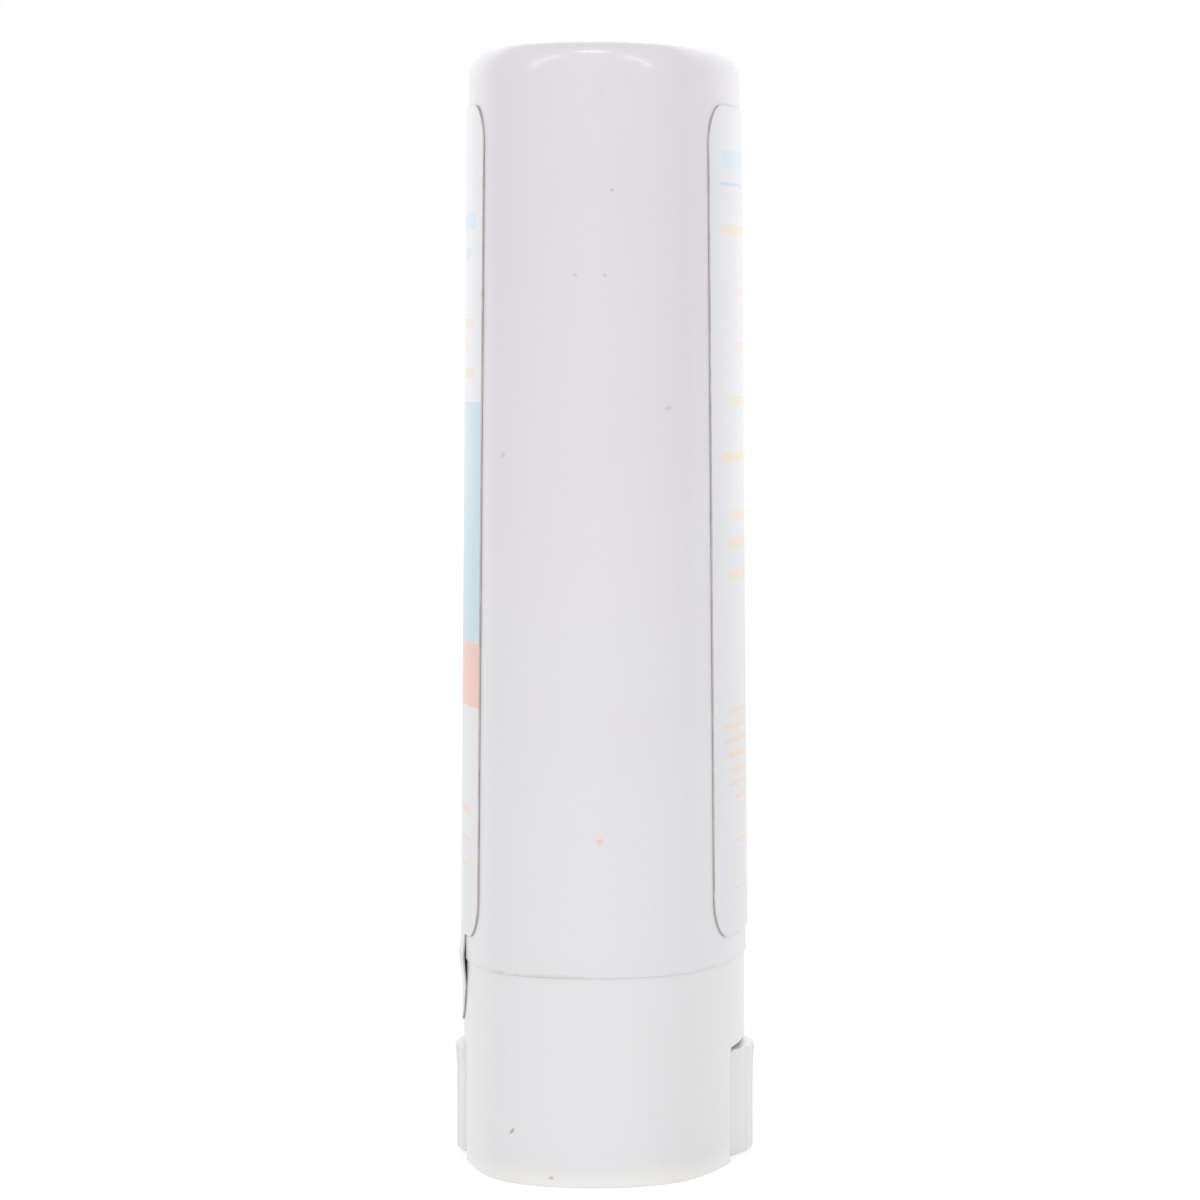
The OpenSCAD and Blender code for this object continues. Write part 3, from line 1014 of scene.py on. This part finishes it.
@dataclass
class FilmLabel:
    """A thin film on a broad face; its seal tab bows out where it crosses the joint."""

    name: str
    node: str
    slot: str
    shape: FilmShape
    oval: Oval
    cap: Overcap
    thickness: float = 0.1
    gap: float = 0.02
    base_h: float = 13.35
    bow: float = 0.15
    bow_down: float = 1.9
    bow_up: float = 1.0

    def offset(self, z: np.ndarray) -> np.ndarray:
        """How far the film's inside stands out of the base's oval at each height."""
        draft = math.tan(math.radians(self.cap.draft))
        on_cap = self.cap.step - draft * (z - self.cap.low_z) + self.gap
        peak = self.cap.step + self.bow
        start = self.base_h - self.bow_down
        down = np.clip((z - start) / (self.cap.low_z - start), 0, 1)
        up = np.clip((z - self.cap.low_z) / self.bow_up, 0, 1)
        low = self.gap + (peak - self.gap) * down**1.35
        high = peak + (on_cap - peak) * (1 - (1 - up) ** 2)
        return np.where(z < self.cap.low_z, low, high)

    def flat(self) -> tuple[np.ndarray, list[list[int]]]:
        """The film's face as triangles on X and Z.

        Returns:
            Points and triangles.
        """
        edge = self.shape.outline()
        closed = [p for i, p in enumerate(edge) if math.dist(p, edge[i - 1]) > 1e-4]
        outline = []
        for i, (x, z) in enumerate(closed):
            nx, nz = closed[(i + 1) % len(closed)]
            steps = max(1, round(math.dist((x, z), (nx, nz)) / 0.8))
            outline += [(x + (nx - x) * k / steps, z + (nz - z) * k / steps) for k in range(steps)]
        border = np.array(outline)
        fine, coarse = np.arange(self.shape.tab_low + 0.25, 15.2, 0.2), np.arange(15.2, 69, 1.1)
        inner = []
        half = self.shape.width / 2
        for k, z in enumerate(np.concatenate([fine, coarse])):
            for x in np.arange(self.shape.shift - half + 0.1 + 0.35 * (k % 2), half + 1, 0.7):
                away = np.min(np.hypot(border[:, 0] - x, border[:, 1] - z))
                if away > 0.22 and self.inside(border, x, z):
                    inner.append((x, z))
        points = [Vector(p) for p in [*outline, *inner]]
        result = delaunay_2d_cdt(points, [], [list(range(len(outline)))], 1, 1e-7)
        return np.array([tuple(v) for v in result[0]]), [list(f) for f in result[2]]

    @staticmethod
    def inside(border: np.ndarray, x: float, z: float) -> bool:
        """True where a place lies within the closed border."""
        x0, z0 = border.T
        x1, z1 = np.roll(border, -1, axis=0).T
        crossing = (z0 > z) != (z1 > z)
        with np.errstate(divide="ignore", invalid="ignore"):
            at = x0 + (z - z0) * (x1 - x0) / (z1 - z0)
        return bool(np.count_nonzero(crossing & (at > x)) % 2)

    def make(self, finish: PrintedFilm, cut_edge: PlainFinish, back: PlainFinish) -> None:
        """Builds the film and puts it in place of its node.

        Args:
            finish: The printed face.
            cut_edge: The film's cut edge, coloured brownish grey: partly grime, partly painted shade.
            back: Its adhesive side, coloured dark grey: painted shade for the gap between film and plastic.
        """
        flat, triangles = self.flat()
        x, z = flat.T
        side, total = self.shape.face.value, len(flat)
        layers = []
        for grow in (0.0, self.thickness):
            y = self.oval.face_y(x, -(self.offset(z) + grow))
            layers.append(np.stack([x, side * y, z], 1))
        faces, slots = [], []
        for a, b, c in triangles:
            outer = [total + a, total + b, total + c]
            inner = [c, b, a]
            faces += [outer, inner] if side < 0 else [outer[::-1], inner[::-1]]
            slots += [0, 2]
        for a, b in self.edge_loop(triangles):
            quad = [a, b, total + b, total + a]
            faces.append(quad if side < 0 else quad[::-1])
            slots.append(1)
        piece = Workshop.build(self.name, np.concatenate(layers), faces)
        Workshop.dress(piece, finish.make(), cut_edge.make(), back.make())
        piece.data.polygons.foreach_set("material_index", slots)
        Workshop.seat(piece, "cap", self.node, self.slot)

    @staticmethod
    def edge_loop(triangles: Sequence[Sequence[int]]) -> list[tuple[int, int]]:
        """Edges that only one triangle has, in that triangle's direction."""
        directed = {(t[i], t[(i + 1) % 3]) for t in triangles for i in range(3)}
        return [(a, b) for a, b in directed if (b, a) not in directed]


@dataclass(frozen=True)
class Studio:
    """Pale floor, white surroundings, soft lamps and the camera at the photograph's place."""

    camera_at: Place = (0.36415, 0.02322, 0.05336)
    camera_aim: Place = (0.00002, -0.00032, 0.03650)
    lens: float = 165.2
    light: float = 0.822

    def backdrop_share(self, g: Graph) -> Expr:
        """1 for rays that show the backdrop itself: camera, glossy and transmission rays."""
        path = g.tree.nodes.new("ShaderNodeLightPath")
        rays = [Expr(g, path.outputs[n]) for n in ("Is Camera Ray", "Is Glossy Ray", "Is Transmission Ray")]
        return rays[0].most(rays[1]).most(rays[2])

    def world(self) -> None:
        """White surroundings that also light the object."""
        world = bpy.data.worlds.new("studio")
        world.use_nodes = True
        bpy.context.scene.world = world
        g = Graph(world.node_tree)
        back = next(n for n in world.node_tree.nodes if n.type == "BACKGROUND")
        shown = self.backdrop_share(g)
        g.feed(back.inputs["Color"], (1.0, 1.0, 1.0, 1.0))
        g.feed(back.inputs["Strength"], shown * (1.0 - self.light) + self.light)

    def floor(self) -> None:
        """A white floor that keeps the object's shadow and can be looked through from below."""
        corners = np.array([(-4000, -4000, 0), (4000, -4000, 0), (4000, 4000, 0), (-4000, 4000, 0)], float)
        floor = Workshop.build("floor", corners, [(0, 1, 2, 3)])
        material = bpy.data.materials.new("pale_floor")
        material.use_nodes = True
        tree = material.node_tree
        tree.nodes.clear()
        g = Graph(tree)
        glow = g.node("ShaderNodeEmission", None, {"Color": (1.0, 1.0, 1.0, 1.0), "Strength": 0.84})
        faint = g.node("ShaderNodeBsdfDiffuse", None, {"Color": (0.2, 0.2, 0.2, 1.0)})
        plain = g.node("ShaderNodeBsdfDiffuse", None, {"Color": (0.93, 0.93, 0.93, 1.0)})
        seen = g.node("ShaderNodeAddShader", None, {0: glow, 1: faint})
        lit = g.node("ShaderNodeMixShader", None, {0: self.backdrop_share(g), 1: plain, 2: seen})
        below = g.node("ShaderNodeNewGeometry", out="Backfacing")
        clear = g.node("ShaderNodeBsdfTransparent")
        both = g.node("ShaderNodeMixShader", None, {0: below, 1: lit, 2: clear})
        out = tree.nodes.new("ShaderNodeOutputMaterial")
        g.feed(out.inputs["Surface"], both)
        Workshop.dress(floor, material)

    def strip(
        self,
        name: str,
        start: Place,
        end: Place,
        width: float,
        power: float,
        shine: bool = True,
        fill: bool = True,
    ) -> None:
        """Hangs a flat lamp between two points, facing the stick.

        Args:
            name: The lamp's name.
            start, end: The middles of its two short ends, in metres.
            width: Its width in metres.
            power: Its power in watts.
            shine: False where no gloss shows the lamp itself.
            fill: False where the lamp is only seen in gloss and lights nothing.
        """
        first, last = Vector(start), Vector(end)
        middle, along = (first + last) / 2, last - first
        back = middle - Vector((0, 0, 0.05))
        back = (back - back.project(along)).normalized()
        data = bpy.data.lights.new(name, "AREA")
        data.shape = "RECTANGLE"
        data.size, data.size_y = along.length, width
        data.energy = power
        made = bpy.data.objects.new(name, data)
        turn = Matrix((along.normalized(), back.cross(along.normalized()), back)).transposed()
        made.matrix_world = Matrix.Translation(middle) @ turn.to_4x4()
        made.visible_glossy = shine
        made.visible_diffuse = fill
        bpy.context.scene.collection.objects.link(made)

    def camera(self) -> None:
        """Sets the camera where the photograph was taken from."""
        data = bpy.data.cameras.new("camera")
        data.lens, data.sensor_width = self.lens, 36.0
        data.clip_start, data.clip_end = 0.01, 50.0
        made = bpy.data.objects.new("camera", data)
        made.location = self.camera_at
        aim = Vector(self.camera_aim) - Vector(self.camera_at)
        made.rotation_euler = aim.to_track_quat("-Z", "Y").to_euler()
        bpy.context.scene.collection.objects.link(made)
        bpy.context.scene.camera = made

    def set_up(self) -> None:
        """Puts up the whole studio."""
        self.world()
        self.floor()
        self.strip("front_softbox", (1.5, -0.5, 0.6), (1.5, 0.5, 0.6), 0.9, 4.4, shine=False)
        self.strip("top_strip", (0.22, -0.10, 0.57), (0.22, 0.10, 0.57), 0.02, 0.55, fill=False)
        for side, name in ((-1, "left"), (1, "right")):
            upper, lower = (0.325, side * 0.273, 0.49), (0.239, side * 0.536, 0.19)
            self.strip(f"{name}_strip", upper, lower, 0.03, 0.5, fill=False)
            y = side * 0.46
            self.strip(f"{name}_softbox", (-1.43, y, -0.1), (-1.43, y, 0.9), 0.9, 2.8, shine=False)
            y = side * 0.4
            self.strip(f"{name}_glow", (-1.45, y, -0.2), (-1.45, y, 0.9), 0.9, 0.9)
        self.camera()
        bpy.context.scene.view_settings.view_transform = "Standard"


def bar(z: float, half: float, tall: float, ink: Colour, strength: float) -> PrintField:
    """A printed bar across the middle of a label."""
    return PrintField(Mark.BAR, (-half, z - tall / 2), (half, z + tall / 2), ink, strength)


def front_print() -> tuple[PrintField, ...]:
    """Plain fields of the front label: a light blue band over a coral one, with a few bars round them."""
    fields = [
        PrintField(Mark.BAND, (-12, 34.2), (12, 49.7), linear(183, 215, 226)),
        PrintField(Mark.BAND, (-12, 30.0), (12, 34.2), linear(241, 186, 168)),
        PrintField(Mark.FRAME, (-9.6, 19.6), (9.6, 21.5), linear(247, 206, 150), 0.8),
    ]
    rows = [(61.4, 9.9, 1.1, linear(186, 216, 238)), (59.3, 8.2, 0.8, linear(186, 216, 238))]
    rows += [(z, half, 0.6, linear(243, 200, 186)) for z, half in ((54.8, 9.7), (53.2, 7.6), (51.6, 9.9))]
    rows += [(23.2, 9.7, 0.5, linear(247, 206, 150))]
    fields += [bar(*row, 0.75) for row in rows]
    return tuple(fields)


def back_print() -> tuple[PrintField, ...]:
    """Plain bars of the back label, in rows under a blue rule."""
    fields = [
        PrintField(Mark.BAR, (-8.6, 63.7), (8.6, 63.9), linear(176, 214, 234)),
        PrintField(Mark.BAR, (-6.5, 64.9), (8.2, 66.0), linear(196, 222, 240), 0.7),
    ]
    heading = [(60.9, 8.3), (56.9, 4.4), (53.3, 4.6), (49.8, 6.2)]
    heading += [(46.1, 8.7), (42.4, 6.6), (40.5, 7.0), (38.4, 6.8)]
    small = [(29.6 - 0.95 * i, half) for i, half in enumerate((7.2, 8.6, 8.8, 7.6, 6.4, 7.2, 5.8))]
    for lines, height, ink in ((heading, 0.62, linear(247, 214, 150)), (small, 0.36, linear(248, 206, 150))):
        fields += [bar(z, half, height, ink, 0.62) for z, half in lines]
    fields.append(PrintField(Mark.FRAME, (-6.4, 17.9), (6.4, 21.2), linear(247, 206, 150), 0.7))
    return tuple(fields)


def main() -> None:
    """Loads the frame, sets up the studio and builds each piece."""
    logging.basicConfig(level=logging.INFO, format="%(message)s")
    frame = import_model()
    Studio().set_up()
    oval = Oval()
    front = FilmShape(Face.FRONT, shift=0.5, tab=True)
    back = FilmShape(Face.BACK, shift=-0.5)
    # The cap is painted darker and more violet towards its top: painted shade.
    cap_plastic = MouldedPlastic(
        "cap_plastic", linear(229, 228, 231), linear(224, 220, 227), painted_top_shade=0.8, joint_z=13.42,
        film_edges=(front, back),
        specks=(
            Speck(0.94, 69.28, 0.7, 0.36, 80, linear(232, 204, 182), 0.25),
            Speck(0.84, 22.02, 0.5, 0.4, 20, linear(238, 200, 170), 0.7),
            Speck(-0.75, 57.8, 0.32, 0.24, 0, linear(190, 186, 190), 0.5),
            Speck(1.13, 57.79, 0.3, 0.25, 0, linear(186, 184, 190), 0.5),
            Speck(1.57, 63.14, 0.32, 0.22, 30, linear(186, 182, 188), 0.5),
            Speck(-5.52, 46.41, 0.5, 0.3, 60, linear(196, 190, 194), 0.5),
            Speck(5.01, 49.41, 0.5, 0.3, 20, linear(196, 190, 194), 0.5),
        ),
    )
    # The base's foot gets a painted glow of floor light.
    base_plastic = MouldedPlastic(
        "base_plastic", linear(230, 229, 231), linear(231, 231, 233), joint_z=13.42, floor_glow_below=1.7,
        film_edges=(front,), film_top=13.4,
        specks=(
            Speck(-4.9, 3.34, 0.5, 0.2, 55, linear(190, 160, 132), 0.9),
            Speck(-2.3, 0.58, 0.35, 0.25, 0, linear(214, 180, 172), 0.8),
        ),
    )
    wheel_plastic = MouldedPlastic(
        "wheel_plastic", linear(234, 233, 234), linear(237, 236, 237), roughness=0.3)
    cap = Overcap(oval)
    cap.make(cap_plastic)
    BaseAndTube(oval).make(base_plastic)
    TurnWheel().make(wheel_plastic)
    SunscreenStick(oval).make(Balm())
    # The film's cut edge is brownish grey: partly grime, partly painted shade along the edge.
    cut_edge = PlainFinish("film_cut_edge", linear(186, 176, 172), linear(206, 196, 190))
    # Painted shade: the film's inner face is dark grey, so that the gap under the seal tab reads as shadow.
    shaded_film_back = PlainFinish("film_back_painted_shade", linear(120, 120, 124), linear(140, 140, 142))
    FilmLabel("front_film", "front_label", "front_film", front, oval, cap).make(
        PrintedFilm("front_print", front_print()), cut_edge, shaded_film_back)
    FilmLabel("back_film", "back_label", "back_film", back, oval, cap).make(
        PrintedFilm("back_print", back_print()), cut_edge, shaded_film_back)
    platform = PlainFinish("elevator_plastic", linear(226, 225, 214), linear(232, 231, 222), 0.5)
    Workshop.dress(frame["nodes"]["elevator"], platform.make())
    LOG.info("elevator keeps its CAD solid with a moulded finish")


if __name__ == "__main__":
    main()
